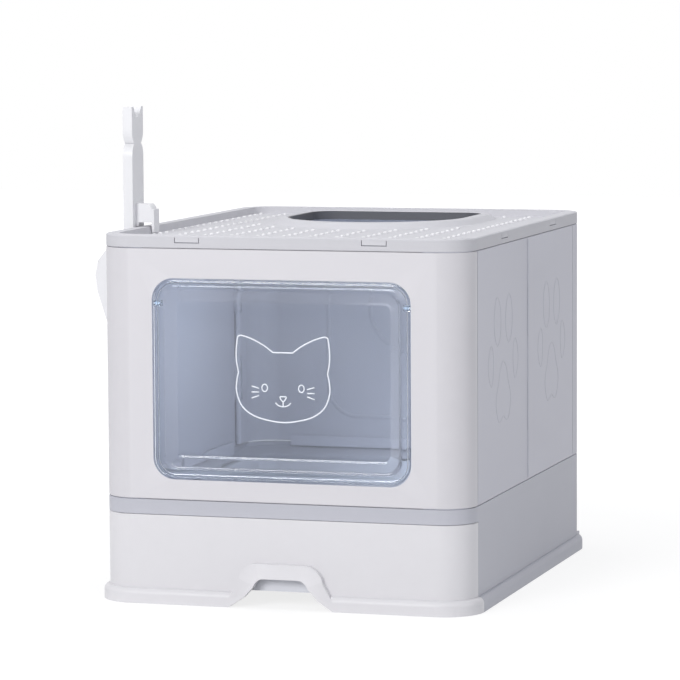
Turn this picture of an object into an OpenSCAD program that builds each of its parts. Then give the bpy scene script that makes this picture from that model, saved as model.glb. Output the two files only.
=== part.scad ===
// Enclosed cat litter box: a base with a pull-out drawer, a hood that folds flat,
// a see-through swing flap, a lift-off lid with a round-fronted entry, and a hang-on scoop.
// The origin is the centre of the footprint. The window faces -Y and +Z is up.

/* [Body] */
// Outer width of the hood and the base wall
body_w = 400; // [380:1:480]
// Outer depth of the hood and the base wall
body_d = 501.4; // [470:0.2:610]
// Height from the floor to the top of the lid rim
total_h = 384.5; // [340:0.5:470]
// Outer radius of the four upright corners
corner_r = 35.5; // [30:0.5:45]
// Thickness of the moulded walls
wall = 3; // [2.5:0.1:3.5]
// Rounding of the long outer edges
edge_r = 1.2; // [0.5:0.1:1.5]

/* [Base] */
// Height of the base up to the hood seam
base_h = 109; // [100:0.5:135]
// Height of the drawer front
drawer_front_h = 93; // [80:0.5:96]
// How far the foot flares out
foot_out = 6.3; // [4:0.1:9]
// Height of the flared foot
foot_h = 15.7; // [12:0.1:20]
// Height of the rails that carry the tray
rail_top = 16.7; // [14:0.1:20]
// Width of each rail
rail_w = 17; // [14:0.5:24]

/* [Drawer] */
// Gap on each side between the tray rim and the base wall
tray_side_gap = 7; // [5:0.5:12]
// Width of the rolled rim round the tray
tray_rim_w = 4; // [3:0.5:6]
// Thickness of the tray
tray_wall = 2.5; // [2:0.1:3.5]
// Free height between the tray rim and the litter collar
tray_top_gap = 2; // [1:0.5:5]
// Half width of the hand notch at the floor
notch_half_w = 58; // [45:1:75]
// Height of the hand notch
notch_h = 31; // [26:1:40]
// Width of the raised band that follows the notch
notch_band = 15.6; // [12:0.2:18]

/* [Hood] */
// Gap left at the seams above the base and below the lid
seam_gap = 0.5; // [0.3:0.1:1]
// Width of the upright gap beside each corner
corner_seam = 1.4; // [1:0.1:2]
// Distance from a corner seam to the hinge behind it
hinge_setback = 14.2; // [12:0.1:20]
// Radius of the corner hinge knuckles
corner_knuckle_r = 3.2; // [2.8:0.1:3.4]
// Radius of the corner hinge pins
corner_pin_r = 1.5; // [1.2:0.1:1.8]
// Radius of the mid-side hinge knuckles
mid_knuckle_r = 1.5; // [1.4:0.1:1.8]
// Radius of the mid-side hinge wires
mid_pin_r = 0.8; // [0.6:0.1:0.9]
// Radial clearance of a pin in a turning knuckle
pin_clear = 0.05; // [0.02:0.01:0.1]
// Number of knuckles on each hinge line
knuckles = 5; // [3:2:7]
// Thickness of the locating tongues
tongue_t = 3; // [2:0.5:4]
// Clearance between a tongue and the wall round it
tongue_clear = 0.4; // [0.3:0.1:0.6]

/* [Window] */
// Half width of the window
window_half_w = 139.5; // [110:0.5:145]
// Height of the lower edge of the window above the floor
window_bottom = 130.5; // [125:0.5:150]
// Height of the upper edge of the window below the lid top
window_drop = 44.5; // [40:0.5:60]
// Corner radius of the window
window_r = 23; // [16:0.5:30]
// Gap all round the flap
flap_gap = 1.3; // [1:0.1:2]
// Thickness of the flap sheet
flap_t = 2; // [1.5:0.1:2.5]
// Width of the flat border of the flap
flap_border = 12.5; // [10:0.5:16]
// Width of the slope inside the border
flap_slope = 10; // [7:0.5:14]
// Depth of the sunk middle of the flap
flap_sink = 7; // [4:0.5:9]
// Width of the thicker lip round the edge of the flap
flap_lip_w = 3.5; // [2.5:0.5:5]
// Thickness of that lip
flap_lip_t = 4.5; // [3.5:0.1:6]
// Distance from the top edge of the flap down to its pivot
pivot_drop = 25.2; // [20:0.2:30]
// Distance from the wall's outer face back to the pivot
pivot_setback = 7.2; // [6.5:0.1:8]
// Radius of the flap pivot pins
flap_pin_r = 1.5; // [1.2:0.1:2]

/* [Lid] */
// Height of the lid rim
lid_h = 13.25; // [12:0.25:18]
// Width of the flat top of the rim
rim_w = 14; // [12:0.5:18]
// Depth of the grid plate below the rim
plate_drop = 7.5; // [6:0.5:8]
// Thickness of the grid plate
plate_t = 2.5; // [2:0.1:3]
// Radius of the round front of the entry
entry_r = 100; // [80:1:104]
// Distance of the entry centre line from the lid centre line
entry_x = 3; // [-5:1:5]
// Distance from the lid's rear edge forward to the straight rear edge of the entry
entry_rear_gap = 64.7; // [60:0.1:80]
// Distance from the straight rear edge forward to the centre of the round front
entry_len = 94; // [88:1:104]
// Radius of the two rear corners of the entry
entry_corner_r = 25; // [15:1:35]
// Width of the smooth slope round the entry
collar_w = 24; // [20:1:27]
// Thickness of the dark liner ring
ring_t = 2; // [1.6:0.1:3]
// Clearance round the liner ring
ring_clear = 0.2; // [0.1:0.1:0.4]
// Width of the snap tongues in the lid edge
snap_w = 25.4; // [20:0.2:32]
// Distance of the front and rear snap tongues from the centre
snap_x = 100.7; // [80:0.1:130]
// Distance of the side snap tongues from the centre
snap_y = 105; // [80:1:150]
// Width of the slits beside a snap tongue
slit = 0.8; // [0.6:0.1:1.2]

/* [Scoop] */
// Thickness of the scoop handle
grip_t = 10.7; // [8:0.1:13]
// Width of the scoop handle
grip_w = 34; // [28:1:40]
// Height of the handle ears above the lid
grip_rise = 128; // [110:1:150]
// Distance of the handle centre line in front of the lid centre
scoop_y = 119; // [95:1:150]
// Gap between the handle and the lid edge
scoop_gap = 2; // [1:0.5:4]
// Width of the hook over the rim
hook_w = 16; // [14:1:24]
// Gap between the hook and the rim top
hook_gap = 0.4; // [0.3:0.1:1]
// Width of the scoop pan
pan_w = 100; // [90:1:120]
// Depth of the scoop pan
pan_depth = 31; // [28:1:40]
// Wall thickness of the scoop pan
pan_t = 2.5; // [2:0.1:3]
// Width of a sifting slot
slot_w = 7; // [5:0.5:9]

/* [Hidden] */
$fn = 96;

tiny = 0.01;
reach = 40;                                   // how far a cutter runs past what it cuts
half_w = body_w / 2;
half_d = body_d / 2;
lid_bottom = total_h - lid_h;
hood_bottom = base_h + seam_gap;
hood_top = lid_bottom - seam_gap;
band_bottom = drawer_front_h + seam_gap;
// hinge lines: the rear ones mirror the front ones about the mid-side crease
rear_inset = 18;                              // how far the rear seam stands in front of the rear bend
crease_y = -rear_inset / 2;
front_seam = -half_d + corner_r;              // where the front panel's bend ends
front_hinge_y = front_seam + hinge_setback;
side_half = crease_y - front_seam;
side_rear = crease_y + side_half;
knuckle_room = 0.3;                           // room between a corner knuckle and the wall
corner_hinge_x = half_w - wall - corner_knuckle_r - knuckle_room;
mid_hinge_x = half_w;
knuckle_gap = 0.4;
crease_gap = 0.4;
hinge_end = 3;                                // hinges stop short of the seams
// flap
flap_out = -half_d + 1;                       // outer face of the flap border
window_top = total_h - window_drop;
flap_half_w = window_half_w - flap_gap;
flap_bottom = window_bottom + flap_gap;
flap_top = window_top - flap_gap;
pivot_z = flap_top - pivot_drop;
pivot_y = -half_d + pivot_setback;
boss_r = 3.2;
boss_l = 8;
// lid
plate_top = total_h - plate_drop;
rim_foot = rim_w + 1.5;                       // the rim's inner face slopes down to here
entry_back = half_d - entry_rear_gap;
entry_y = entry_back - entry_len;
// drawer
tray_half_w = half_w - wall - tray_side_gap - tray_rim_w;
tray_inset = 7.7;                             // from the outer faces to the ends of the tray
tray_front = -half_d + tray_inset;
tray_rear = half_d - tray_inset;
tray_top = band_bottom - tray_top_gap;
tray_corner_in = 13.5;                        // how much tighter the tray's corners are than the outer ones
tray_r = corner_r - tray_corner_in;
// scoop
grip_face = -half_w - scoop_gap;
grip_top = total_h + grip_rise;
grip_foot = hood_top + 0.75;                  // the handle ends above the wall, which folds past the pan
pan_top = hood_top - 0.25;
pan_stand = 7.5;                              // the pan hangs this far out from the handle's inner face
pan_h = 128;
join_out = 14;                                // the shoulder that joins the pan to the handle
join_h = 11;
hook_rise = 24.5;
hook_top = total_h + hook_rise;
hook_r = 6;
hook_in = -half_w + rim_foot + 0.3;
hook_t = 2.8;
slot_start = 32;                              // the slots run from here to slot_end below the pan's top
slot_end = 98;
slot_pairs = floor((pan_w / 2 - 10) / slot_w / 2);

module rounded_plan(w, d, r) {
    square([w - 2 * r, d], center = true);
    square([w, d - 2 * r], center = true);
    for (x = [-1, 1])
        for (y = [-1, 1])
            translate([x * (w / 2 - r), y * (d / 2 - r)]) circle(r);
}

// Carries an outline round a rounded rectangle: its x is the distance outwards, its y is the height
module sweep_round(w, d, r) {
    for (turn = [0, 180]) {
        rotate([0, 0, turn]) translate([w / 2, d / 2 - r, 0]) rotate([90, 0, 0])
            linear_extrude(d - 2 * r) children();
        rotate([0, 0, turn + 90]) translate([d / 2, w / 2 - r, 0]) rotate([90, 0, 0])
            linear_extrude(w - 2 * r) children();
        rotate([0, 0, turn]) translate([w / 2 - r, d / 2 - r, 0])
            rotate_extrude(angle = 90) translate([r, 0]) children();
        rotate([0, 0, turn + 90]) translate([d / 2 - r, w / 2 - r, 0])
            rotate_extrude(angle = 90) translate([r, 0]) children();
    }
}

// A wall outline from z0 to z1 whose outer edges are rounded
module wall_outline(z0, z1, r0, r1) {
    difference() {
        translate([-wall, z0]) square([wall, z1 - z0]);
        if (r0 > 0) edge_cut(z0 + r0, -1, r0);
        if (r1 > 0) edge_cut(z1 - r1, 1, r1);
    }
}

module edge_cut(z, side, r) {
    translate([-r, z]) difference() {
        translate([0, side < 0 ? -r - 1 : 0]) square([r + 1, r + 1]);
        circle(r);
    }
}

// The quarter-round outline of the flared foot
module foot_outline() {
    translate([-tiny, 0]) square([foot_out + tiny, foot_h - foot_out]);
    translate([0, foot_h - foot_out]) intersection() {
        circle(foot_out);
        translate([-tiny, -tiny]) square(foot_out + 2 * tiny);
    }
}

module front_zone(y) {
    translate([-half_w - reach, -half_d - reach, -1])
        cube([body_w + 2 * reach, y + half_d + reach, total_h + 2]);
}

module both_sides() {
    children();
    mirror([1, 0, 0]) children();
}

// Repeats the front corner's parts at the rear corner
module rear_copy() {
    translate([0, 2 * crease_y, 0]) mirror([0, 1, 0]) children();
}

module base_frame() {
    color([0.72, 0.75, 0.80]) {
        difference() {
            sweep_round(body_w, body_d, corner_r) {
                wall_outline(0, base_h, 0, edge_r);
                foot_outline();
            }
            intersection() {
                front_zone(front_seam + seam_gap);
                translate([-half_w - reach, -half_d - reach, -1])
                    cube([body_w + 2 * reach, body_d, band_bottom + 1]);
            }
        }
        // a sloping collar inside the top edge drops litter into the tray
        sweep_round(body_w, body_d, corner_r)
            polygon([
                [-wall + tiny, base_h - 5.5],
                [-wall - 10, band_bottom + 2],
                [-wall - 10, band_bottom],
                [-wall + tiny, base_h - 7.5]
            ]);
        both_sides() translate([half_w - wall - rail_w, front_seam + 2, rail_top - 4.7])
            cube([rail_w + tiny, half_d - wall - front_seam - 6, 4.7]);
    }
}

module drawer_tray() {
    tray_w = 2 * tray_half_w;
    tray_d = tray_rear - tray_front;
    mid_y = (tray_rear + tray_front) / 2;
    color([0.93, 0.94, 0.96]) translate([0, mid_y, 0]) difference() {
        union() {
            translate([0, 0, rail_top]) linear_extrude(tray_top - rail_top)
                rounded_plan(tray_w, tray_d, tray_r);
            translate([0, 0, tray_top - tray_wall]) linear_extrude(tray_wall)
                rounded_plan(tray_w + 2 * tray_rim_w, tray_d + 2 * tray_rim_w - 0.6, tray_r + tray_rim_w);
        }
        translate([0, 0, rail_top + tray_wall]) linear_extrude(tray_top)
            rounded_plan(tray_w - 2 * tray_wall, tray_d - 2 * tray_wall, tray_r - tray_wall);
    }
}

// The hand notch, or with grow > 0 the raised band round it
module notch_outline(grow) {
    flare = 18;
    flare_h = 11;
    lean = 10;
    top = notch_h + grow;
    shoulder = notch_half_w - flare;
    round_r = 12 + grow / 2;
    side_x = shoulder - lean + grow;
    translate([-side_x, -1]) square([2 * side_x, top - round_r + 1]);
    translate([-side_x + round_r, -1]) square([2 * (side_x - round_r), top + 1]);
    for (side = [-1, 1]) translate([side * (side_x - round_r), top - round_r]) circle(round_r);
    // the sides lean out towards the floor
    polygon([
        [-notch_half_w - grow * 0.2, -1], [notch_half_w + grow * 0.2, -1],
        [shoulder + grow, flare_h], [side_x - 1, top - round_r + 4],
        [1 - side_x, top - round_r + 4], [-shoulder - grow, flare_h]
    ]);
}

module notch_body(grow, y0, y1) {
    translate([0, y1, 0]) rotate([90, 0, 0]) linear_extrude(y1 - y0) notch_outline(grow);
}

module drawer_front() {
    ledge_top = tray_top - tray_wall - 0.2;
    color([0.96, 0.96, 0.98]) difference() {
        union() {
            intersection() {
                sweep_round(body_w, body_d, corner_r) {
                    wall_outline(0, drawer_front_h, 0, edge_r);
                    foot_outline();
                    translate([-7, ledge_top - 3]) square([5, 3]);
                }
                front_zone(front_seam);
            }
            difference() {
                notch_body(notch_band, -half_d - foot_out, -half_d + 1);
                translate([-half_w, -half_d - reach, -2]) cube([body_w, 2 * reach, 2]);
            }
        }
        notch_body(0, -half_d - reach, -half_d + wall + 1);
    }
}

// The hood wall between two depths, with its rounded top and bottom edges
module hood_wall(y0, y1) {
    intersection() {
        sweep_round(body_w, body_d, corner_r)
            wall_outline(hood_bottom, hood_top, edge_r, edge_r);
        translate([-half_w - reach, y0, 0]) cube([body_w + 2 * reach, y1 - y0, total_h]);
    }
}

// Tongues that reach down into the base and up into the lid, as an outline behind the wall
module tongue_outline() {
    inner = -wall - tongue_clear - tongue_t;
    root = 7;
    web = 6;
    down = 5;
    up = 3.2;
    translate([inner, hood_bottom - down]) square([tongue_t, down + root]);
    translate([inner, hood_bottom + root - web]) square([tongue_t + tongue_clear + tiny, web]);
    translate([inner, hood_top - root]) square([tongue_t, root + up]);
    translate([inner, hood_top - root]) square([tongue_t + tongue_clear + tiny, web]);
}

module end_tongues() {
    corner_room = 50;
    length = body_w - 2 * corner_room;
    translate([length / 2, -half_d, 0]) rotate([0, 0, -90]) rotate([90, 0, 0])
        linear_extrude(length) tongue_outline();
}

// Knuckles along a hinge line; those of one leaf are the even ones and those of the other the odd ones
function knuckle_pitch() = (hood_top - hood_bottom - 2 * hinge_end) / knuckles;
function knuckle_z(i) = hood_bottom + hinge_end + i * knuckle_pitch();

module knuckle_run(first) {
    for (i = [first:2:knuckles - 1])
        translate([0, 0, knuckle_z(i) + knuckle_gap / 2]) children();
}

knuckle_l = knuckle_pitch() - knuckle_gap;

// The corner leaf of the front panel on the right side
module corner_leaf() {
    leaf_in = corner_hinge_x - corner_knuckle_r;
    leaf_t = 3;
    root_t = 5;
    root_y = front_seam - 7;
    translate([leaf_in, root_y, knuckle_z(0)])
        cube([half_w - wall - leaf_in + 0.2, root_t, knuckle_z(knuckles) - knuckle_z(0)]);
    translate([leaf_in, root_y, knuckle_z(0)])
        cube([leaf_t, hinge_setback + 2, knuckle_z(knuckles) - knuckle_z(0)]);
    knuckle_run(0) translate([leaf_in, front_seam, 0]) cube([leaf_t, hinge_setback, knuckle_l]);
    knuckle_run(0) translate([corner_hinge_x, front_hinge_y, 0])
        cylinder(r = corner_knuckle_r, h = knuckle_l);
}

module corner_bore(r) {
    translate([corner_hinge_x, front_hinge_y, hood_bottom - 1])
        cylinder(r = r, h = hood_top - hood_bottom + 2);
}

module corner_pin() {
    color("silver") translate([corner_hinge_x, front_hinge_y, knuckle_z(0)])
        cylinder(r = corner_pin_r, h = knuckle_z(knuckles) - knuckle_z(0));
}

// The right-hand half wall in front of the crease, with both of its hinge edges. crease_first is
// the first knuckle that it carries at the crease, and crease_bore is the radius it is bored to.
module half_panel(crease_first, crease_bore) {
    color([0.80, 0.82, 0.86]) difference() {
        union() {
            difference() {
                translate([half_w, crease_y - crease_gap / 2, 0]) rotate([90, 0, 0])
                    linear_extrude(side_half - crease_gap / 2)
                    wall_outline(hood_bottom, hood_top, edge_r, edge_r);
                // room for the other half's knuckles
                knuckle_run(1 - crease_first)
                    translate([mid_hinge_x - wall - 1, crease_y - mid_knuckle_r - 0.5, -knuckle_gap])
                    cube([wall + 2, mid_knuckle_r + 1, knuckle_pitch() + knuckle_gap]);
            }
            knuckle_run(crease_first) {
                translate([mid_hinge_x, crease_y, 0]) cylinder(r = mid_knuckle_r, h = knuckle_l);
                translate([mid_hinge_x - wall, crease_y - 4, 0]) cube([wall, 4, knuckle_l]);
            }
            knuckle_run(1) {
                translate([corner_hinge_x, front_hinge_y, 0]) cylinder(r = corner_knuckle_r, h = knuckle_l);
                translate([corner_hinge_x, front_hinge_y - 2.5, 0])
                    cube([half_w - wall - corner_hinge_x + tiny, 5, knuckle_l]);
            }
            translate([half_w, crease_y - 4, 0]) rotate([90, 0, 0])
                linear_extrude(side_half - hinge_setback - 20) tongue_outline();
        }
        corner_bore(corner_pin_r + pin_clear);
        translate([mid_hinge_x, crease_y, hood_bottom - 1])
            cylinder(r = crease_bore, h = hood_top - hood_bottom + 2);
    }
}

module front_half_panel() {
    half_panel(0, mid_pin_r);
}

module rear_half_panel() {
    rear_copy() half_panel(1, mid_pin_r + pin_clear);
}

module mid_wire() {
    color("silver") translate([mid_hinge_x, crease_y, knuckle_z(0)])
        cylinder(r = mid_pin_r, h = knuckle_z(knuckles) - knuckle_z(0));
}

module back_panel() {
    color([0.82, 0.84, 0.88]) difference() {
        union() {
            hood_wall(side_rear + corner_seam, half_d + 1);
            rear_copy() both_sides() corner_leaf();
            rotate([0, 0, 180]) end_tongues();
        }
        rear_copy() both_sides() corner_bore(corner_pin_r);
    }
}

module window_outline(grow) {
    height = window_top - window_bottom;
    translate([0, (window_top + window_bottom) / 2])
        rounded_plan(2 * (window_half_w + grow), height + 2 * grow, window_r + grow);
}

module front_panel() {
    color([0.85, 0.86, 0.90]) difference() {
        union() {
            hood_wall(-half_d - 1, front_seam - corner_seam);
            both_sides() corner_leaf();
            end_tongues();
            // ears that hold the flap's pins
            both_sides() translate([window_half_w + 1, pivot_y, pivot_z]) rotate([0, 90, 0])
                cylinder(r = boss_r, h = boss_l);
            both_sides() translate([window_half_w + 1, -half_d + wall - 1, pivot_z - boss_r])
                cube([boss_l, pivot_setback - wall + 1, 2 * boss_r]);
        }
        both_sides() corner_bore(corner_pin_r);
        translate([0, -half_d + reach / 2, 0]) rotate([90, 0, 0]) linear_extrude(reach) window_outline(0);
        both_sides() translate([window_half_w - 1, pivot_y, pivot_z]) rotate([0, 90, 0])
            cylinder(r = flap_pin_r + pin_clear, h = boss_l - 1);
    }
}

// The outline of the flap, drawn in by inset; its corners tighten but stay round
module flap_outline(inset) {
    height = flap_top - flap_bottom;
    translate([0, (flap_top + flap_bottom) / 2])
        rounded_plan(2 * (flap_half_w - inset), height - 2 * inset, max(window_r - flap_gap - inset, 8));
}

module flap_layer(inset, y0, y1) {
    translate([0, y1, 0]) rotate([90, 0, 0]) linear_extrude(y1 - y0) flap_outline(inset);
}

// A shallow dish from one inset at the front to a deeper one behind, for the sunk middle
module flap_dish(inset, y0, y1) {
    hull() {
        flap_layer(inset, y0, y0 + 0.2, $fn = 32);
        flap_layer(inset + flap_slope, y1 - 0.2, y1, $fn = 32);
    }
}

module window_flap() {
    color([0.70, 0.78, 0.86, 0.5]) difference() {
        union() {
            flap_layer(0, flap_out, flap_out + flap_t);
            difference() {
                flap_layer(0, flap_out, flap_out + flap_lip_t);
                flap_layer(flap_lip_w, flap_out - 1, flap_out + flap_lip_t + 1);
            }
            flap_dish(flap_border - flap_t / 2, flap_out, flap_out + flap_sink + flap_t);
            both_sides() translate([flap_half_w - boss_l, pivot_y, pivot_z]) rotate([0, 90, 0])
                cylinder(r = boss_r, h = boss_l);
        }
        flap_dish(flap_border, flap_out - 1, flap_out + flap_sink);
        both_sides() translate([flap_half_w - boss_l - 1, pivot_y, pivot_z]) rotate([0, 90, 0])
            cylinder(r = flap_pin_r, h = boss_l + 2);
    }
}

module flap_pin() {
    color("white") translate([flap_half_w - boss_l + 1, pivot_y, pivot_z]) rotate([0, 90, 0])
        cylinder(r = flap_pin_r, h = boss_l + flap_gap + 5);
}

// The outline of the entry, moved outwards by grow
module entry_outline(grow) {
    side = entry_r + grow;
    back = entry_back - entry_y + grow;
    r = entry_corner_r + grow;
    intersection() {
        circle(side);
        translate([-side, -side]) square([2 * side, side + tiny]);
    }
    translate([-side, 0]) square([2 * side, back - r]);
    translate([-side + r, 0]) square([2 * (side - r), back]);
    for (x = [-1, 1]) translate([x * (side - r), back - r]) circle(r);
}

// Carries an outline round the entry: its x is the distance outwards, its y is the height
module entry_sweep() {
    straight = entry_back - entry_y - entry_corner_r;
    rotate([0, 0, 180]) rotate_extrude(angle = 180) translate([entry_r, 0]) children();
    translate([0, entry_back - entry_y, 0]) rotate([0, 0, 90])
        translate([0, entry_r - entry_corner_r, 0]) rotate([90, 0, 0])
        linear_extrude(2 * (entry_r - entry_corner_r)) children();
    both_sides() {
        translate([entry_r, straight, 0]) rotate([90, 0, 0]) linear_extrude(straight) children();
        translate([entry_r - entry_corner_r, straight, 0])
            rotate_extrude(angle = 90) translate([entry_corner_r, 0]) children();
    }
}

module rim_outline() {
    difference() {
        polygon([
            [0, lid_bottom], [0, total_h], [-rim_w, total_h], [-rim_foot, plate_top],
            [-rim_foot - 3, plate_top], [-rim_foot - 3, plate_top - plate_t],
            [-rim_foot + 2, plate_top - plate_t], [-rim_w + 1.5, total_h - wall],
            [-wall, total_h - wall], [-wall, lid_bottom]
        ]);
        edge_cut(total_h - 2, 1, 2);
        edge_cut(lid_bottom + 0.8, -1, 0.8);
    }
}

module snap_slits() {
    for (x = [-1, 1]) {
        translate([x * (snap_w + slit) / 2 - slit / 2, -wall - 1, lid_bottom + 5.2])
            cube([slit, wall + 2, total_h - lid_bottom - 7.5]);
    }
    translate([-snap_w / 2 - slit, -wall - 1, lid_bottom + 5.2]) cube([snap_w + 2 * slit, wall + 2, slit]);
}

module lid() {
    color([0.84, 0.85, 0.88]) difference() {
        union() {
            sweep_round(body_w, body_d, corner_r) rim_outline();
            difference() {
                translate([0, 0, plate_top - plate_t]) linear_extrude(plate_t)
                    rounded_plan(body_w - 2 * rim_foot - 2, body_d - 2 * rim_foot - 2, corner_r - rim_foot);
                translate([entry_x, entry_y, 0]) linear_extrude(total_h + 1) entry_outline(1);
            }
            translate([entry_x, entry_y, 0]) entry_sweep() polygon([
                [0, plate_top - plate_t], [0, total_h - 0.8], [0.8, total_h], [3, total_h],
                [9, total_h - 1.2], [collar_w - 7, plate_top + 1.2],
                [collar_w, plate_top], [collar_w, plate_top - plate_t]
            ]);
        }
        for (turn = [0, 180]) rotate([0, 0, turn]) {
            for (x = [-snap_x, snap_x]) translate([x, -half_d + wall, 0]) snap_slits();
            for (y = [-snap_y, snap_y]) rotate([0, 0, 90]) translate([y, -half_w + wall, 0]) snap_slits();
        }
    }
}

module entry_ring() {
    color([0.28, 0.28, 0.30]) translate([entry_x, entry_y, plate_top - plate_t])
        linear_extrude(plate_drop + plate_t - 0.6) difference() {
            entry_outline(-ring_clear);
            entry_outline(-ring_clear - ring_t);
        }
}

// The cat-shaped handle, seen from the side: x runs along the box and y is the height
module grip_outline() {
    neck_z = grip_top - 40.5;
    shoulder_z = neck_z - 12;
    half = grip_w / 2;
    // body
    translate([-half, grip_foot]) square([grip_w, shoulder_z - grip_foot]);
    translate([0, shoulder_z]) intersection() {
        circle(half);
        translate([-half, 0]) square([grip_w, 13]);
    }
    translate([-9, shoulder_z]) square([18, neck_z - shoulder_z + 4]);
    // head with two ears
    difference() {
        union() {
            translate([0, neck_z + half - 2]) circle(half);
            translate([-half, neck_z + half - 2]) square([grip_w, grip_top - neck_z - half + 2]);
        }
        notch_floor = grip_top - 11;
        polygon([[-half + 5, grip_top + 1], [half - 5, grip_top + 1], [4, notch_floor], [-4, notch_floor]]);
    }
}

// The pan, seen from the front: x is the distance out from the handle's inner face. It is open
// towards the wall and at its lower lip.
module pan_outline(inset) {
    top = pan_top - inset;
    foot = pan_top - pan_h - (inset == 0 ? 0 : 1);
    deep = pan_depth - inset;
    open_x = inset == 0 ? pan_stand : pan_stand - 1;
    lip_t = 3;
    polygon([
        [open_x, top], [14, top], [deep - 12, top - 9], [deep - 3, top - 20], [deep, top - 36],
        [deep - 2, top - 52], [deep - 9, top - 74], [deep - 17, top - 97],
        [pan_stand + lip_t - inset, foot], [open_x, foot]
    ]);
}

module pan_slice(w) {
    translate([grip_face, w / 2, 0]) rotate([90, 0, 0]) linear_extrude(w) mirror([1, 0]) children();
}

// The hook over the rim, with its tongue inside
module hook() {
    hook_z = total_h + hook_gap;
    span = hook_in - grip_face;
    difference() {
        union() {
            translate([grip_face - tiny, -hook_w / 2, hook_z])
                cube([span, hook_w, hook_top - hook_z - hook_r]);
            translate([grip_face - tiny, -hook_w / 2, hook_z])
                cube([span - hook_r, hook_w, hook_top - hook_z]);
            translate([hook_in - hook_r, hook_w / 2, hook_top - hook_r]) rotate([90, 0, 0])
                cylinder(r = hook_r, h = hook_w);
            translate([hook_in - tiny, -hook_w / 2, plate_top + 1])
                cube([hook_t, hook_w, hook_top - hook_r - plate_top - 1]);
        }
        // the hook is hollow above the rim
        translate([grip_face + 3, -hook_w / 2 - 1, hook_z - 1]) cube([span - 3, hook_w + 2, 5]);
    }
}

module scoop() {
    color([0.97, 0.97, 0.98]) translate([0, -scoop_y, 0]) {
        translate([grip_face - grip_t, 0, 0]) rotate([90, 0, 90]) linear_extrude(grip_t) grip_outline();
        hook();
        // the shoulder between the handle and the pan
        translate([grip_face - join_out, -grip_w / 2, pan_top - pan_t - 1])
            cube([join_out - pan_stand, grip_w, join_h]);
        difference() {
            pan_slice(pan_w) pan_outline(0);
            pan_slice(pan_w - 2 * pan_t) pan_outline(pan_t);
            // sifting slots through the floor of the pan
            for (i = [-slot_pairs:slot_pairs])
                translate([grip_face - pan_depth - 1, i * slot_w * 2 - slot_w / 2, pan_top - slot_end])
                    cube([pan_depth - 10, slot_w, slot_end - slot_start]);
        }
    }
}

base_frame();
drawer_tray();
drawer_front();
back_panel();
rear_half_panel();  // right_rear_panel
front_half_panel();  // right_front_panel
front_panel();
mirror([1, 0, 0]) rear_half_panel();  // left_rear_panel
mirror([1, 0, 0]) front_half_panel();  // left_front_panel
rear_copy() corner_pin();  // rear_right_hinge_pin
mirror([1, 0, 0]) rear_copy() corner_pin();  // rear_left_hinge_pin
corner_pin();  // front_right_hinge_pin
mirror([1, 0, 0]) corner_pin();  // front_left_hinge_pin
mid_wire();  // right_mid_hinge_wire
mirror([1, 0, 0]) mid_wire();  // left_mid_hinge_wire
window_flap();
mirror([1, 0, 0]) flap_pin();  // flap_pin_left
flap_pin();  // flap_pin_right
lid();
entry_ring();
scoop();
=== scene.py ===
import math

import bmesh
import bpy
from mathutils import Matrix, Vector


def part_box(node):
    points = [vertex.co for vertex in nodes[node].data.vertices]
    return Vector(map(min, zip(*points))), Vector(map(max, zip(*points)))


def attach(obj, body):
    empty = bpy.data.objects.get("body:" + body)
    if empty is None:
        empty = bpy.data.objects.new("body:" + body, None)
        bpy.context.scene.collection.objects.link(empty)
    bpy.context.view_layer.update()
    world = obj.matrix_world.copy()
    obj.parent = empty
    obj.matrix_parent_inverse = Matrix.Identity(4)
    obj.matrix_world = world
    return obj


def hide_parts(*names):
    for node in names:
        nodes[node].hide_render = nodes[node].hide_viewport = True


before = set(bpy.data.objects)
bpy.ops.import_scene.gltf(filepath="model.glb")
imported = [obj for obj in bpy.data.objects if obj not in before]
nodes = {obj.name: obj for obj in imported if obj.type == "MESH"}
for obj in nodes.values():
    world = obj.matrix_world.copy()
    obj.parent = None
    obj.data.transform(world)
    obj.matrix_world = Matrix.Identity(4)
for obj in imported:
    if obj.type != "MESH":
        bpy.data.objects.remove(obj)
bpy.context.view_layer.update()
mm = 0.001

# where the camera stands in metres, how it is turned in degrees, and its lens in millimetres
cameraPlace = {
    "spot": (1.1383, -3.7173, 0.6344), "turn": 17.214, "tilt": 5.574, "roll": -0.336,
    "lens": 189.44, "film": 36, "near": 0.1, "far": 60,
}

# soft round lamps that all aim at the middle of the box: place, size across, power in watts, tint
lampAim = (0, 0, 0.2)
lamps = {
    "frontLamp": {"spot": (-0.9, -3.2, 1.5), "size": 1.5, "power": 62, "tint": (1, 0.995, 0.985)},
    "topLamp": {"spot": (-0.2, 0.1, 2.4), "size": 1.8, "power": 24, "tint": (1, 1, 1)},
    "sideLamp": {"spot": (3.0, -0.6, 1.2), "size": 2.0, "power": 14, "tint": (0.97, 0.98, 1)},
}
# a weak unseen lamp inside the box, and the pale room around it
cabinLamp = {"spot": (0, -0.02, 0.27), "radius": 0.09, "power": 0.66, "tint": (0.80, 0.89, 1.0)}
roomLight = {"colour": (0.93, 0.95, 1.0), "strength": 0.42}


def makeCamera():
    place = cameraPlace
    cam = bpy.data.objects.new("camera", bpy.data.cameras.new("camera"))
    bpy.context.scene.collection.objects.link(cam)
    turn = Matrix.Rotation(math.radians(place["turn"]), 4, "Z")
    tilt = Matrix.Rotation(math.radians(90 - place["tilt"]), 4, "X")
    roll = Matrix.Rotation(math.radians(place["roll"]), 4, "Z")
    cam.matrix_world = Matrix.Translation(place["spot"]) @ turn @ tilt @ roll
    cam.data.lens = place["lens"]
    cam.data.sensor_width = place["film"]
    cam.data.clip_start = place["near"]
    cam.data.clip_end = place["far"]
    bpy.context.scene.camera = cam


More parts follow.
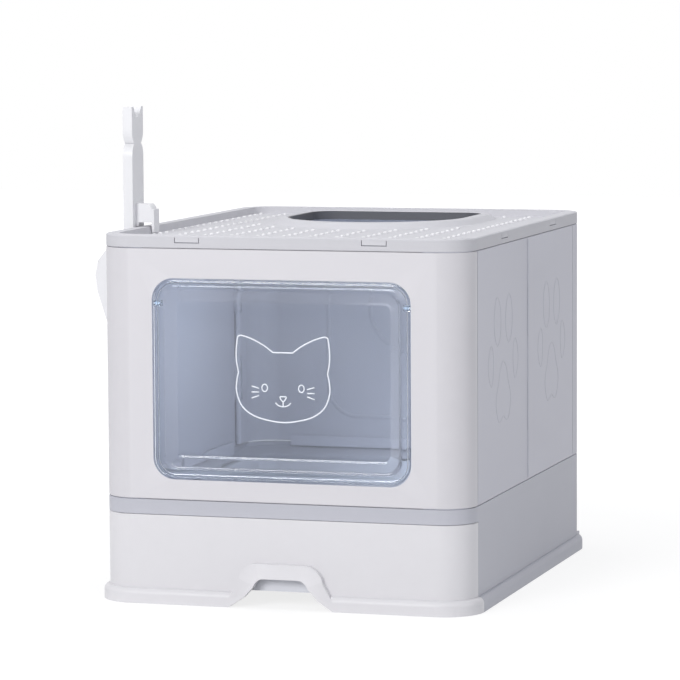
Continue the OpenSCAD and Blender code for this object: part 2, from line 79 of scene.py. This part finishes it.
def makeLamps():
    for name, lamp in lamps.items():
        data = bpy.data.lights.new(name, "AREA")
        data.shape = "DISK"
        data.size = lamp["size"]
        data.energy = lamp["power"]
        data.color = lamp["tint"]
        ob = bpy.data.objects.new(name, data)
        ob.location = lamp["spot"]
        ob.rotation_mode = "QUATERNION"
        ob.rotation_quaternion = (Vector(lampAim) - Vector(lamp["spot"])).to_track_quat("-Z", "Y")
        bpy.context.scene.collection.objects.link(ob)


def makeCabinLamp():
    # stands in for the light that comes through the thin walls
    data = bpy.data.lights.new("cabinLamp", "POINT")
    data.shadow_soft_size = cabinLamp["radius"]
    data.energy = cabinLamp["power"]
    data.color = cabinLamp["tint"]
    ob = bpy.data.objects.new("cabinLamp", data)
    ob.location = cabinLamp["spot"]
    ob.visible_camera = False
    ob.visible_glossy = False
    ob.visible_transmission = False
    bpy.context.scene.collection.objects.link(ob)


def newNode(tree, kind, **values):
    node = tree.nodes.new(kind)
    for name, value in values.items():
        if name in node.inputs:
            node.inputs[name].default_value = value
        else:
            setattr(node, name, value)
    return node


def join(tree, source, output, target, socket):
    tree.links.new(source.outputs[output], target.inputs[socket])


def seenByCamera(tree):
    # 1 for rays that the camera, a mirror or clear plastic sends out
    path = newNode(tree, "ShaderNodeLightPath")
    first = newNode(tree, "ShaderNodeMath", operation="MAXIMUM")
    second = newNode(tree, "ShaderNodeMath", operation="MAXIMUM")
    join(tree, path, "Is Camera Ray", first, 0)
    join(tree, path, "Is Glossy Ray", first, 1)
    join(tree, first, 0, second, 0)
    join(tree, path, "Is Transmission Ray", second, 1)
    return second


def makeWorld():
    world = bpy.data.worlds.new("studio")
    bpy.context.scene.world = world
    world.use_nodes = True
    tree = world.node_tree
    tree.nodes.clear()
    white = newNode(tree, "ShaderNodeBackground", Color=(1, 1, 1, 1), Strength=1.0)
    roomColour = (*roomLight["colour"], 1)
    room = newNode(tree, "ShaderNodeBackground", Color=roomColour, Strength=roomLight["strength"])
    mix = newNode(tree, "ShaderNodeMixShader")
    out = newNode(tree, "ShaderNodeOutputWorld")
    join(tree, seenByCamera(tree), 0, mix, 0)
    join(tree, room, 0, mix, 1)
    join(tree, white, 0, mix, 2)
    join(tree, mix, 0, out, "Surface")


# a pale floor in metres; what the camera sees is part grey and part glow, and runs into the backdrop
floorLook = {
    "size": 14, "drop": 0.0002, "own": 0.80, "shade": 0.24,
    "glow": 0.80, "farGlow": 1.0, "fadeFrom": 0.5, "fadeTo": 1.6,
}


def makeFloor():
    mesh = bpy.data.meshes.new("floor")
    half = floorLook["size"] / 2
    z = -floorLook["drop"]
    corners = [(-half, -half, z), (half, -half, z), (half, half, z), (-half, half, z)]
    mesh.from_pydata(corners, [], [(0, 1, 2, 3)])
    floor = bpy.data.objects.new("floor", mesh)
    bpy.context.scene.collection.objects.link(floor)
    material = bpy.data.materials.new("paleFloor")
    material.use_nodes = True
    tree = material.node_tree
    tree.nodes.clear()
    plain = newNode(tree, "ShaderNodeBsdfDiffuse", Color=(floorLook["own"],) * 3 + (1,))
    shaded = newNode(tree, "ShaderNodeBsdfDiffuse", Color=(floorLook["shade"],) * 3 + (1,))
    glow = newNode(tree, "ShaderNodeEmission", Color=(1, 1, 1, 1))
    place = newNode(tree, "ShaderNodeTexCoord")
    away = newNode(tree, "ShaderNodeVectorMath", operation="LENGTH")
    join(tree, place, "Object", away, 0)
    fade = newNode(tree, "ShaderNodeMapRange")
    fade.inputs["From Min"].default_value = floorLook["fadeFrom"]
    fade.inputs["From Max"].default_value = floorLook["fadeTo"]
    fade.inputs["To Min"].default_value = floorLook["glow"]
    fade.inputs["To Max"].default_value = floorLook["farGlow"]
    join(tree, away, "Value", fade, "Value")
    join(tree, fade, 0, glow, "Strength")
    both = newNode(tree, "ShaderNodeAddShader")
    mix = newNode(tree, "ShaderNodeMixShader")
    out = newNode(tree, "ShaderNodeOutputMaterial")
    join(tree, shaded, 0, both, 0)
    join(tree, glow, 0, both, 1)
    join(tree, seenByCamera(tree), 0, mix, 0)
    join(tree, plain, 0, mix, 1)
    join(tree, both, 0, mix, 2)
    join(tree, mix, 0, out, "Surface")
    mesh.materials.append(material)


# what all the moulded plastics share unless a finish says otherwise
plainPlastic = {"shine": 0.4, "vary": 0.03, "grain": 0.10}
# sizes of the noises in the plastic, and how far the painted edge highlight and the roughness go
plasticGrain = {
    "flowScale": 5.0, "blotchScale": 60.0, "blotchShare": 0.35, "darkFrom": 0.35, "lightFrom": 0.68,
    "edgeFrom": 0.52, "edgeTo": 0.62, "edgeGain": 1.06, "edgeLift": 0.01,
    "smoother": 0.05, "rougher": 0.06, "grainScale": 1500.0, "grainDepth": 0.0001,
}


def mouldedPlastic(name, own):
    # a fine spark-eroded grain, faint flow marks from the mould, and a painted highlight that makes the sharp
    # edges paler
    look = {**plainPlastic, **plasticGrain, **own}
    material = bpy.data.materials.new(name)
    material.use_nodes = True
    tree = material.node_tree
    shader = tree.nodes["Principled BSDF"]
    shader.inputs["IOR"].default_value = 1.5
    shader.inputs["Specular IOR Level"].default_value = look["shine"]
    place = newNode(tree, "ShaderNodeTexCoord")

    flow = newNode(tree, "ShaderNodeTexNoise", Scale=look["flowScale"], Detail=3.0, Roughness=0.5)
    join(tree, place, "Object", flow, "Vector")
    blotch = newNode(tree, "ShaderNodeTexNoise", Scale=look["blotchScale"], Detail=4.0, Roughness=0.6)
    join(tree, place, "Object", blotch, "Vector")
    both = newNode(tree, "ShaderNodeMix", data_type="FLOAT", Factor=look["blotchShare"])
    join(tree, flow, "Fac", both, 2)
    join(tree, blotch, "Fac", both, 3)

    base = look["colour"]
    vary = look["vary"]
    ramp = newNode(tree, "ShaderNodeValToRGB")
    ramp.color_ramp.elements[0].position = look["darkFrom"]
    ramp.color_ramp.elements[1].position = look["lightFrom"]
    ramp.color_ramp.elements[0].color = (*[c * (1 - vary) for c in base], 1)
    ramp.color_ramp.elements[1].color = (*[min(1, c * (1 + vary)) for c in base], 1)
    join(tree, both, 0, ramp, 0)

    # painted highlight: convex edges, found by pointiness, are made paler as if they caught the light
    shape = newNode(tree, "ShaderNodeNewGeometry")
    edge = newNode(tree, "ShaderNodeMapRange")
    edge.inputs["From Min"].default_value = look["edgeFrom"]
    edge.inputs["From Max"].default_value = look["edgeTo"]
    join(tree, shape, "Pointiness", edge, "Value")
    edgeHighlightMix = newNode(tree, "ShaderNodeMix", data_type="RGBA")
    edgeHighlight = [min(1, c * look["edgeGain"] + look["edgeLift"]) for c in base]
    edgeHighlightMix.inputs[7].default_value = (*edgeHighlight, 1)
    join(tree, edge, 0, edgeHighlightMix, 0)
    join(tree, ramp, 0, edgeHighlightMix, 6)
    join(tree, edgeHighlightMix, 2, shader, "Base Color")

    rough = newNode(tree, "ShaderNodeMapRange")
    rough.inputs["To Min"].default_value = look["rough"] - look["smoother"]
    rough.inputs["To Max"].default_value = look["rough"] + look["rougher"]
    join(tree, blotch, "Fac", rough, "Value")
    join(tree, rough, 0, shader, "Roughness")

    grain = newNode(tree, "ShaderNodeTexNoise", Scale=look["grainScale"], Detail=2.0, Roughness=0.6)
    join(tree, place, "Object", grain, "Vector")
    bump = newNode(tree, "ShaderNodeBump", Strength=look["grain"], Distance=look["grainDepth"])
    join(tree, grain, "Fac", bump, "Height")
    join(tree, bump, 0, shader, "Normal")
    return material


# bright steel with fine streaks along the wire
wireLook = {
    "colour": (0.62, 0.62, 0.64), "dark": 0.8, "across": 900, "along": 20, "smooth": 0.25, "rough": 0.45,
}


def drawnWire(name, look):
    material = bpy.data.materials.new(name)
    material.use_nodes = True
    tree = material.node_tree
    shader = tree.nodes["Principled BSDF"]
    shader.inputs["Metallic"].default_value = 1.0
    place = newNode(tree, "ShaderNodeTexCoord")
    stretch = newNode(tree, "ShaderNodeMapping")
    stretch.inputs["Scale"].default_value = (look["across"], look["across"], look["along"])
    streak = newNode(tree, "ShaderNodeTexNoise", Scale=1.0, Detail=3.0)
    join(tree, place, "Object", stretch, "Vector")
    join(tree, stretch, "Vector", streak, "Vector")
    ramp = newNode(tree, "ShaderNodeValToRGB")
    ramp.color_ramp.elements[0].color = (*[c * look["dark"] for c in look["colour"]], 1)
    ramp.color_ramp.elements[1].color = (*look["colour"], 1)
    join(tree, streak, "Fac", ramp, 0)
    join(tree, ramp, 0, shader, "Base Color")
    rough = newNode(tree, "ShaderNodeMapRange")
    rough.inputs["To Min"].default_value = look["smooth"]
    rough.inputs["To Max"].default_value = look["rough"]
    join(tree, streak, "Fac", rough, "Value")
    join(tree, rough, 0, shader, "Roughness")
    return material


# the polished flap and the faintly milky slope round its sunk middle
clearLook = {"tint": (0.92, 0.96, 1.0), "pass": (0.90, 0.95, 1.0), "rough": 0.03, "milk": 0.0}
hazyLook = {"tint": (0.93, 0.96, 1.0), "pass": (0.9, 0.93, 1.0), "rough": 0.05, "milk": 0.03}
sheetGrain = {"ior": 1.45, "hazeScale": 35.0, "rippleScale": 14.0, "ripple": 0.04, "rippleDepth": 0.0004}


def clearSheet(name, own):
    # polished clear plastic; lamps and soft light pass straight through its tint
    look = {**sheetGrain, **own}
    material = bpy.data.materials.new(name)
    material.use_nodes = True
    tree = material.node_tree
    shader = tree.nodes["Principled BSDF"]
    out = tree.nodes["Material Output"]
    shader.inputs["Base Color"].default_value = (*look["tint"], 1)
    shader.inputs["Transmission Weight"].default_value = 1.0 - look["milk"]
    shader.inputs["IOR"].default_value = look["ior"]
    place = newNode(tree, "ShaderNodeTexCoord")
    haze = newNode(tree, "ShaderNodeTexNoise", Scale=look["hazeScale"], Detail=4.0)
    join(tree, place, "Object", haze, "Vector")
    rough = newNode(tree, "ShaderNodeMapRange")
    rough.inputs["To Min"].default_value = look["rough"] * 0.5
    rough.inputs["To Max"].default_value = look["rough"] * 1.5
    join(tree, haze, "Fac", rough, "Value")
    join(tree, rough, 0, shader, "Roughness")
    ripple = newNode(tree, "ShaderNodeTexNoise", Scale=look["rippleScale"], Detail=1.0)
    join(tree, place, "Object", ripple, "Vector")
    bump = newNode(tree, "ShaderNodeBump", Strength=look["ripple"], Distance=look["rippleDepth"])
    join(tree, ripple, "Fac", bump, "Height")
    join(tree, bump, 0, shader, "Normal")
    through = newNode(tree, "ShaderNodeBsdfTransparent", Color=(*look["pass"], 1))
    path = newNode(tree, "ShaderNodeLightPath")
    soft = newNode(tree, "ShaderNodeMath", operation="MAXIMUM")
    join(tree, path, "Is Shadow Ray", soft, 0)
    join(tree, path, "Is Diffuse Ray", soft, 1)
    mix = newNode(tree, "ShaderNodeMixShader")
    join(tree, soft, 0, mix, 0)
    join(tree, shader, 0, mix, 1)
    join(tree, through, 0, mix, 2)
    join(tree, mix, 0, out, "Surface")
    return material


# one finish for each kind of moulding, with the hood plastic in two copies: its colour, roughness, how much
# the colour varies, shine, grain
finishes = {
    "base": {"colour": (0.47, 0.474, 0.525), "rough": 0.46, "vary": 0.02, "shine": 0.3},
    "tray": {"colour": (0.66, 0.67, 0.72), "rough": 0.40, "vary": 0.02},
    "drawer": {"colour": (0.70, 0.69, 0.715), "rough": 0.38, "vary": 0.015, "grain": 0.06, "shine": 0.3},
    # hood and front are one bluish-grey plastic: the hood copy is darker and bluer, a painted shade for the
    # side and back walls, and the front copy is lighter for the lit front panel
    "hood": {"colour": (0.54, 0.54, 0.595), "rough": 0.50, "vary": 0.02, "grain": 0.05, "shine": 0.25},
    "front": {"colour": (0.625, 0.613, 0.643), "rough": 0.45, "vary": 0.02, "shine": 0.3},
    "lid": {"colour": (0.575, 0.572, 0.605), "rough": 0.55, "vary": 0.02, "shine": 0.12},
    "ring": {"colour": (0.07, 0.07, 0.08), "rough": 0.50, "vary": 0.10},
    "scoop": {"colour": (0.74, 0.74, 0.76), "rough": 0.34, "vary": 0.01, "grain": 0.05, "shine": 0.3},
    # painted highlight: the cat face lines are clear embossing on the flap, painted whitish for the gloss
    # that lights them
    "faceLineHighlight": {"colour": (0.86, 0.89, 0.95), "rough": 0.5, "vary": 0.02},
}
# which finish each node takes; the steel pins and wires have none here
nodeFinish = {
    "base_frame": "base", "drawer_tray": "tray", "drawer_front": "drawer", "back_panel": "hood",
    "right_rear_panel": "hood", "right_front_panel": "hood",
    "left_rear_panel": "hood", "left_front_panel": "hood",
    "front_panel": "front", "lid": "lid", "entry_ring": "ring", "scoop": "scoop",
    "flap_pin_left": "scoop", "flap_pin_right": "scoop",
}
scoopEdge = {"width": 0.9, "segments": 2, "sharpest": 50}    # bevel in millimetres, count, degrees


def softenScoop():
    bevel = nodes["scoop"].modifiers.new("softEdge", "BEVEL")
    bevel.width = scoopEdge["width"] * mm
    bevel.segments = scoopEdge["segments"]
    bevel.limit_method = "ANGLE"
    bevel.angle_limit = math.radians(scoopEdge["sharpest"])


def paintNodes(plastics, wire):
    for name, ob in nodes.items():
        finish = plastics.get(nodeFinish.get(name), wire)
        ob.data.materials.clear()
        ob.data.materials.append(finish)


def meshPiece(name, bm, finish):
    bmesh.ops.recalc_face_normals(bm, faces=bm.faces)
    mesh = bpy.data.meshes.new(name)
    bm.to_mesh(mesh)
    bm.free()
    for face in mesh.polygons:
        face.use_smooth = True
    mesh.materials.append(finish)
    ob = bpy.data.objects.new(name, mesh)
    bpy.context.scene.collection.objects.link(ob)
    return ob


def roundedLoop(width, height, radius, arcSteps=10):
    # the points of a rounded rectangle about the origin, in order
    points = []
    corners = [(1, 1, 0), (-1, 1, 90), (-1, -1, 180), (1, -1, 270)]
    for sx, sz, start in corners:
        cx = sx * (width / 2 - radius)
        cz = sz * (height / 2 - radius)
        for i in range(arcSteps + 1):
            a = math.radians(start + 90 * i / arcSteps)
            points.append((cx + radius * math.cos(a), cz + radius * math.sin(a)))
    return points


def mirrored(points):
    return [(-u, v) for u, v in points]


def bridge(bm, low, high):
    count = len(low)
    for i in range(count):
        j = (i + 1) % count
        bm.faces.new((low[i], low[j], high[j], high[i]))


def bridgeRings(bm, rings):
    made = [[bm.verts.new(p) for p in ring] for ring in rings]
    for low, high in zip(made, made[1:]):
        bridge(bm, low, high)
    return made


# the see-through flap in millimetres: a lip round its edge, a flat border, and a slope to a sunk middle
flapLook = {
    "lip": 3.5, "lipDepth": 4.5, "sheet": 2.0, "border": 12.5, "slope": 10.0, "sink": 7.0, "flat": 6,
    "corner": 21.7, "lipCorner": 18.7, "slopeCorner": 15.0, "sunkCorner": 7.0,
    "hazyIn": 1, "hazyOut": 2,
}


def flapRings():
    # each ring: how far in from the edge, how far behind the front face, corner radius;
    # the small steps beside the named measures make the bends round
    look = flapLook
    lip, lipDepth, sheet, sink = look["lip"], look["lipDepth"], look["sheet"], look["sink"]
    corner, lipCorner = look["corner"], look["lipCorner"]
    top, low = look["slopeCorner"], look["sunkCorner"]
    border = look["border"]
    slopeEnd = border + look["slope"]
    flatEnd = slopeEnd + look["flat"]
    sunkBack = sink + sheet
    front = [
        (0.0, lipDepth - 0.5, corner), (0.0, 0.7, corner), (0.2, 0.2, corner - 0.2), (0.8, 0.0, corner - 0.8),
        (4.0, 0.0, lipCorner + 0.3), (border - 1.6, 0.0, top + 0.5), (border - 0.5, 0.25, top),
        (border + 0.4, 0.9, top - 0.5), (slopeEnd - 1.4, sink - 1.0, low + 1.5),
        (slopeEnd - 0.4, sink - 0.25, low + 0.6), (slopeEnd + 1.2, sink, low), (flatEnd, sink, low),
    ]
    back = [
        (flatEnd, sunkBack, low), (slopeEnd - 0.4, sunkBack, low),
        (slopeEnd - 2.0, sunkBack - 0.4, low + 0.6), (slopeEnd - 3.2, sunkBack - 1.3, low + 1.5),
        (border - 1.4, 2.9, top - 0.5), (border - 2.3, 2.25, top), (border - 3.6, sheet, top + 0.5),
        (lip + 0.5, sheet, lipCorner - 0.2), (lip, sheet + 0.5, lipCorner), (lip, lipDepth - 0.4, lipCorner),
        (lip - 0.4, lipDepth, lipCorner + 0.3), (0.5, lipDepth, corner - 0.5),
    ]
    return front, back


def makeFlap(clear, hazy):
    low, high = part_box("window_flap")
    width = (high.x - low.x) / mm
    height = (high.z - low.z) / mm
    midX = (high.x + low.x) / 2
    midZ = (high.z + low.z) / 2
    frontY = low.y / mm

    def ring(inset, depth, radius):
        loop = roundedLoop(width - 2 * inset, height - 2 * inset, radius)
        return [(midX + x * mm, (frontY + depth) * mm, midZ + z * mm) for x, z in loop]

    front, back = flapRings()
    bm = bmesh.new()
    rows = bridgeRings(bm, [ring(*r) for r in front + back])
    bridge(bm, rows[-1], rows[0])
    # the last ring of the front and the first of the back each get a flat sheet, not a wall between them
    frontMiddle = rows[len(front) - 1]
    backMiddle = rows[len(front)]
    rims = set(frontMiddle) | set(backMiddle)
    wall = [f for f in bm.faces if all(v in rims for v in f.verts)]
    bmesh.ops.delete(bm, geom=wall, context="FACES_ONLY")
    bm.faces.new(frontMiddle)
    bm.faces.new(list(reversed(backMiddle)))
    ob = meshPiece("clearFlap", bm, clear)
    ob.data.materials.append(hazy)
    # the slope round the sunk middle is a little milky
    innerEdge = flapLook["border"] + flapLook["slope"] + flapLook["hazyIn"]
    outerEdge = flapLook["border"] - flapLook["hazyOut"]
    for face in ob.data.polygons:
        x = abs(face.center.x - midX) / mm
        z = abs(face.center.z - midZ) / mm
        beyondMiddle = x > width / 2 - innerEdge or z > height / 2 - innerEdge
        withinBorder = x < width / 2 - outerEdge and z < height / 2 - outerEdge
        if beyondMiddle and withinBorder:
            face.material_index = 1
    return ob


# the two round bosses behind the border that hold the pins, in millimetres
bossLook = {"radius": 3.2, "bore": 1.52, "length": 8, "bevel": 0.3, "steps": 32}


def pivotBosses(clear):
    pinLow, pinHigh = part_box("flap_pin_right")
    centre = (pinLow + pinHigh) / 2
    radius = bossLook["radius"] * mm
    bore = bossLook["bore"] * mm
    bevel = bossLook["bevel"] * mm
    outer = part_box("window_flap")[1].x
    inner = outer - bossLook["length"] * mm
    turns = [2 * math.pi * i / bossLook["steps"] for i in range(bossLook["steps"])]
    # how far out from the middle of the flap, and radius
    profile = [
        (inner, bore), (inner, radius - bevel), (inner + bevel, radius),
        (outer - bevel, radius), (outer, radius - bevel), (outer, bore),
    ]
    made = []
    for side, name in ((1, "flapBossRight"), (-1, "flapBossLeft")):
        bm = bmesh.new()
        rings = []
        for x, r in profile:
            rings.append([(side * x, centre.y + r * math.cos(a), centre.z + r * math.sin(a)) for a in turns])
        rows = bridgeRings(bm, rings)
        bridge(bm, rows[-1], rows[0])
        made.append(meshPiece(name, bm, clear))
    return made


def smoothPath(points, closed, steps):
    # a soft curve through a few given points, as a Catmull-Rom spline
    count = len(points)
    path = []
    for i in range(count if closed else count - 1):
        places = [i + k - 1 for k in range(4)]
        if closed:
            a, b, c, d = (points[p % count] for p in places)
        else:
            a, b, c, d = (points[min(max(p, 0), count - 1)] for p in places)
        for j in range(steps):
            t = j / steps
            path.append(tuple(
                0.5 * (2 * b[n] + (c[n] - a[n]) * t + (2 * a[n] - 5 * b[n] + 4 * c[n] - d[n]) * t * t
                       + (3 * b[n] - a[n] - 3 * c[n] + d[n]) * t * t * t)
                for n in (0, 1)))
    if not closed:
        path.append(points[-1])
    return path


# the round of a bead from side to side, and of a dome from its foot up, as shares of width and height
beadSection = [(-0.5, -0.3), (-0.5, 0.25), (-0.3, 0.75), (0, 1), (0.3, 0.75), (0.5, 0.25), (0.5, -0.3)]
domeSection = [(1.0, -0.3), (1.0, 0.1), (0.93, 0.45), (0.72, 0.8), (0.4, 0.96)]


def raisedLine(bm, path, closed, width, height, toWorld):
    # a half-round bead along a path; toWorld turns (u, v, out) in millimetres into a point
    last = len(path) - 1
    rows = []
    for i, (u, v) in enumerate(path):
        if closed:
            before, after = path[i - 1], path[(i + 1) % len(path)]
        else:
            before, after = path[max(i - 1, 0)], path[min(i + 1, last)]
        du = after[0] - before[0]
        dv = after[1] - before[1]
        size = math.hypot(du, dv) or 1
        nu = -dv / size
        nv = du / size
        rows.append([
            bm.verts.new(toWorld(u + nu * across * width, v + nv * across * width, out * height))
            for across, out in beadSection
        ])
    pairs = list(zip(rows, rows[1:]))
    if closed:
        pairs.append((rows[-1], rows[0]))
    for one, two in pairs:
        bridge(bm, one, two)
    if not closed:
        bm.faces.new(rows[0])
        bm.faces.new(list(reversed(rows[-1])))


def raisedDome(bm, u, v, radius, height, steps, toWorld):
    turns = [2 * math.pi * i / steps for i in range(steps)]
    rings = []
    for share, out in domeSection:
        r = radius * share
        rings.append([toWorld(u + r * math.cos(a), v + r * math.sin(a), out * height) for a in turns])
    rows = bridgeRings(bm, rings)
    top = bm.verts.new(toWorld(u, v, height))
    for i in range(steps):
        bm.faces.new((rows[-1][i], rows[-1][(i + 1) % steps], top))
    bm.faces.new(list(reversed(rows[0])))


# the cat face on the flap: half of its outline from the top of the head to the chin, and its features,
# as (across, height) in millimetres
catFace = {
    "line": 1.5, "rise": 0.6, "fineLine": 1.3, "fineRise": 0.5, "middle": 0.2,
    "side": [(0, 264.8), (10, 264.8), (11.2, 265.2), (20, 271.5), (32, 277.8), (43.5, 281.6), (47.8, 281),
             (49.2, 277.5), (50.4, 266), (50.2, 255), (48.5, 245.5), (48.3, 243), (49.8, 236), (50.4, 224),
             (45.2, 209.5), (34, 200), (19, 195), (0, 192.6)],
    "eye": (19.8, 228, 3.0, 3.8),    # its middle and its half sizes
    "nose": [(-3.4, 218.9), (0, 219.3), (3.4, 218.9), (1.5, 215.2), (0, 214.4), (-1.5, 215.2)],
    "lip": [(0, 214.4), (0, 209.4)],
    "smile": [(-8.2, 213), (-5.4, 210.3), (0, 209), (5.4, 210.3), (8.2, 213)],
    "whiskers": [((26, 227.4), (34, 229.6)), ((26, 223.5), (34, 223.5)), ((26, 220), (34, 217.2))],
}


def makeCatFace(finish):
    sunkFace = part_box("window_flap")[0].y + flapLook["sink"] * mm
    middle = catFace["middle"]

    def onFlap(u, v, out):
        return ((u + middle) * mm, sunkFace - out * mm, v * mm)

    def fineLine(path, closed):
        raisedLine(bm, path, closed, catFace["fineLine"], catFace["fineRise"], onFlap)

    bm = bmesh.new()
    side = catFace["side"]
    outline = side + mirrored(reversed(side[1:-1]))
    raisedLine(bm, smoothPath(outline, True, 5), True, catFace["line"], catFace["rise"], onFlap)
    eyeX, eyeZ, eyeW, eyeH = catFace["eye"]
    turns = [math.radians(30 * i) for i in range(12)]
    for flip in (1, -1):
        eye = [(flip * eyeX + eyeW * math.cos(a), eyeZ + eyeH * math.sin(a)) for a in turns]
        fineLine(smoothPath(eye, True, 3), True)
        for (x0, z0), (x1, z1) in catFace["whiskers"]:
            fineLine([(flip * x0, z0), (flip * x1, z1)], False)
    fineLine(smoothPath(catFace["smile"], False, 5), False)
    fineLine(smoothPath(catFace["nose"], True, 4), True)
    fineLine(catFace["lip"], False)
    return meshPiece("catFaceLines", bm, finish)


# the bumps in rows on the lid's plate, and the entry they keep clear of, in millimetres
lidBumps = {
    "radius": 2.4, "rise": 1.9, "acrossStep": 29.1, "backStep": 20.0, "rows": 6, "front": -226, "back": 220,
    "plateSink": 7.5, "edgeGap": 1, "steps": 12,
}
lidEntry = {"x": 3, "y": 92, "radius": 100, "straight": 94, "collar": 24}


def insideCollar(x, y, room):
    # the entry has a round front and a square back; both are grown by room
    dx = abs(x - lidEntry["x"])
    dy = y - lidEntry["y"]
    reach = lidEntry["radius"] + room
    if dy < 0:
        return math.hypot(dx, dy) < reach
    return dx < reach and dy < lidEntry["straight"] + room


def makeBumps(finish):
    look = lidBumps
    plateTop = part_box("lid")[1].z / mm - look["plateSink"]
    room = lidEntry["collar"] + look["radius"] + look["edgeGap"]

    def onPlate(u, v, out):
        return (u * mm, v * mm, (plateTop + out) * mm)

    bm = bmesh.new()
    y = look["front"]
    while y <= look["back"]:
        for i in range(-look["rows"], look["rows"] + 1):
            x = i * look["acrossStep"]
            if not insideCollar(x, y, room):
                raisedDome(bm, x, y, look["radius"], look["rise"], look["steps"], onPlate)
        y += look["backStep"]
    return meshPiece("lidBumps", bm, finish)


# the raised paw outlines on the outer faces of the side walls, in millimetres, one on each half wall
paw = {"line": 1.6, "rise": 0.4, "steps": 6, "wall": 200, "frontHalf": -112, "rearHalf": 98.5}


def pawPaths():
    # two toes and half of the pad: along the wall from the middle of the paw, and height
    inner = [(23, 266), (34, 276), (37.5, 293), (33, 310), (24, 317), (14, 309), (9.5, 292), (12.5, 275)]
    outer = [(49, 226), (58.5, 235), (62, 248), (57, 262), (48, 268), (41.5, 259), (40.5, 245), (43, 233)]
    pad = [(0, 191), (9, 186.5), (19, 186), (26, 194), (30, 204), (28, 214.6), (20, 226), (12, 241), (0, 248)]
    wholePad = pad + mirrored(reversed(pad[1:-1]))
    return [inner, mirrored(inner), outer, mirrored(outer), wholePad]


def makePaw(name, side, middle, finish):
    wallX = side * paw["wall"]

    def onWall(u, v, out):
        return ((wallX + side * out) * mm, (middle + u) * mm, v * mm)

    bm = bmesh.new()
    for path in pawPaths():
        raisedLine(bm, smoothPath(path, True, paw["steps"]), True, paw["line"], paw["rise"], onWall)
    return meshPiece(name, bm, finish)


# the stiffening lines moulded on the inner face of the back wall, in millimetres: a rounded frame,
# and a line that dips in two quarter circles between its top corners
backRibs = {
    "line": 4.4, "rise": 0.8, "half": 103.9, "bottom": 140.4, "top": 330, "round": 35, "wall": 3,
    "dipHalf": 52.4, "dipTop": 326, "dipCentre": 265, "dipRound": 45, "steps": 8,
}


def makeBackRibs(finish):
    look = backRibs
    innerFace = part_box("back_panel")[1].y / mm - look["wall"]

    def onBack(u, v, out):
        return (u * mm, (innerFace - out) * mm, v * mm)

    bm = bmesh.new()
    height = look["top"] - look["bottom"]
    middle = (look["top"] + look["bottom"]) / 2
    loop = roundedLoop(2 * look["half"], height, look["round"], look["steps"])
    raisedLine(bm, [(x, z + middle) for x, z in loop], True, look["line"], look["rise"], onBack)
    radius = look["dipRound"]
    centreX = radius - look["dipHalf"]
    centreZ = look["dipCentre"]
    dip = [(-look["dipHalf"], look["dipTop"])]
    for i in range(look["steps"] + 1):
        a = math.radians(180 + 90 * i / look["steps"])
        dip.append((centreX + radius * math.cos(a), centreZ + radius * math.sin(a)))
    raisedLine(bm, dip + mirrored(reversed(dip)), False, look["line"], look["rise"], onBack)
    return meshPiece("backWallRibs", bm, finish)


print("camera, lamps and floor")
bpy.context.scene.view_settings.view_transform = "Standard"
makeCamera()
makeLamps()
makeCabinLamp()
makeWorld()
makeFloor()

print("finishes")
plastics = {name: mouldedPlastic(name + "Plastic", look) for name, look in finishes.items()}
wire = drawnWire("drawnSteel", wireLook)
clear = clearSheet("clearPlastic", clearLook)
paintNodes(plastics, wire)
softenScoop()

print("flap")
hazy = clearSheet("hazyPlastic", hazyLook)
flap = makeFlap(clear, hazy)
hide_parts("window_flap")
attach(flap, "flap")
for boss in pivotBosses(clear):
    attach(boss, "flap")

# the face lines take the whitish painted highlight
face = makeCatFace(plastics["faceLineHighlight"])
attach(face, "flap")

print("lid bumps")
# the bumps are lid plastic; they take the paler scoop white as a painted highlight where they catch the light
bumps = makeBumps(plastics["scoop"])
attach(bumps, "lid")

print("paw outlines and back wall lines")
# the paws and back wall lines take the hood copy with its painted shade
for pawName, pawSide, pawMiddle, body in (
        ("pawRightFront", 1, "frontHalf", "right_front"), ("pawRightRear", 1, "rearHalf", "right_rear"),
        ("pawLeftFront", -1, "frontHalf", "left_front"), ("pawLeftRear", -1, "rearHalf", "left_rear")):
    piece = makePaw(pawName, pawSide, paw[pawMiddle], plastics["hood"])
    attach(piece, body)
ribs = makeBackRibs(plastics["hood"])
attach(ribs, "hood")
